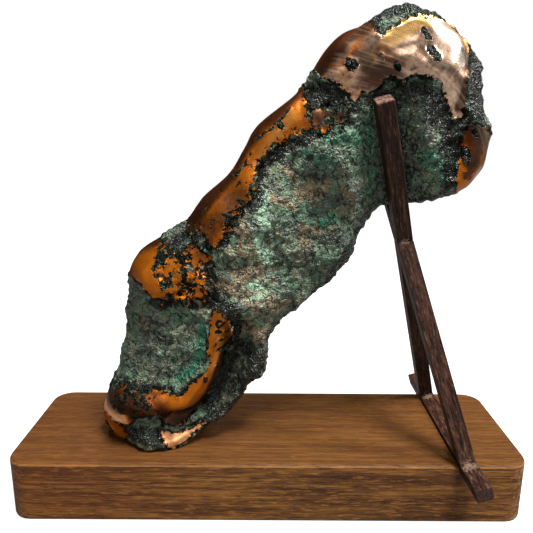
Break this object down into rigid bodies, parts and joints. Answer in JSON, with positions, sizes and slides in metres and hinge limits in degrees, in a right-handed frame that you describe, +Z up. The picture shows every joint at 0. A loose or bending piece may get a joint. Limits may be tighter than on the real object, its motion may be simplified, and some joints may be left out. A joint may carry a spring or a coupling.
{
  "type": "native copper nugget on a stand",
  "caption": "Hand-sized native copper nugget, part polished and part crusted, standing on a wooden block and leaning in a prop of crossed dark sticks.",
  "frame": {"origin": "middle of the underside of the wooden block", "axes": "+X along the block from the nugget's foot towards the prop, +Y away from the nugget's displayed face, +Z up"},
  "size_m": [0.254, 0.12, 0.2386],
  "materials": {
    "copper": "polished copper high spots between rough green and black crust",
    "block_wood": "oiled warm brown hardwood with fine dark pores",
    "prop_wood": "dark brown open-grained hardwood, satin"
  },
  "bodies": {
    "root": {"nugget": "copper", "base_block": "block_wood", "foot_bar": "prop_wood", "front_foot_stick": "prop_wood", "back_foot_stick": "prop_wood"}
  },
  "joints": []
}
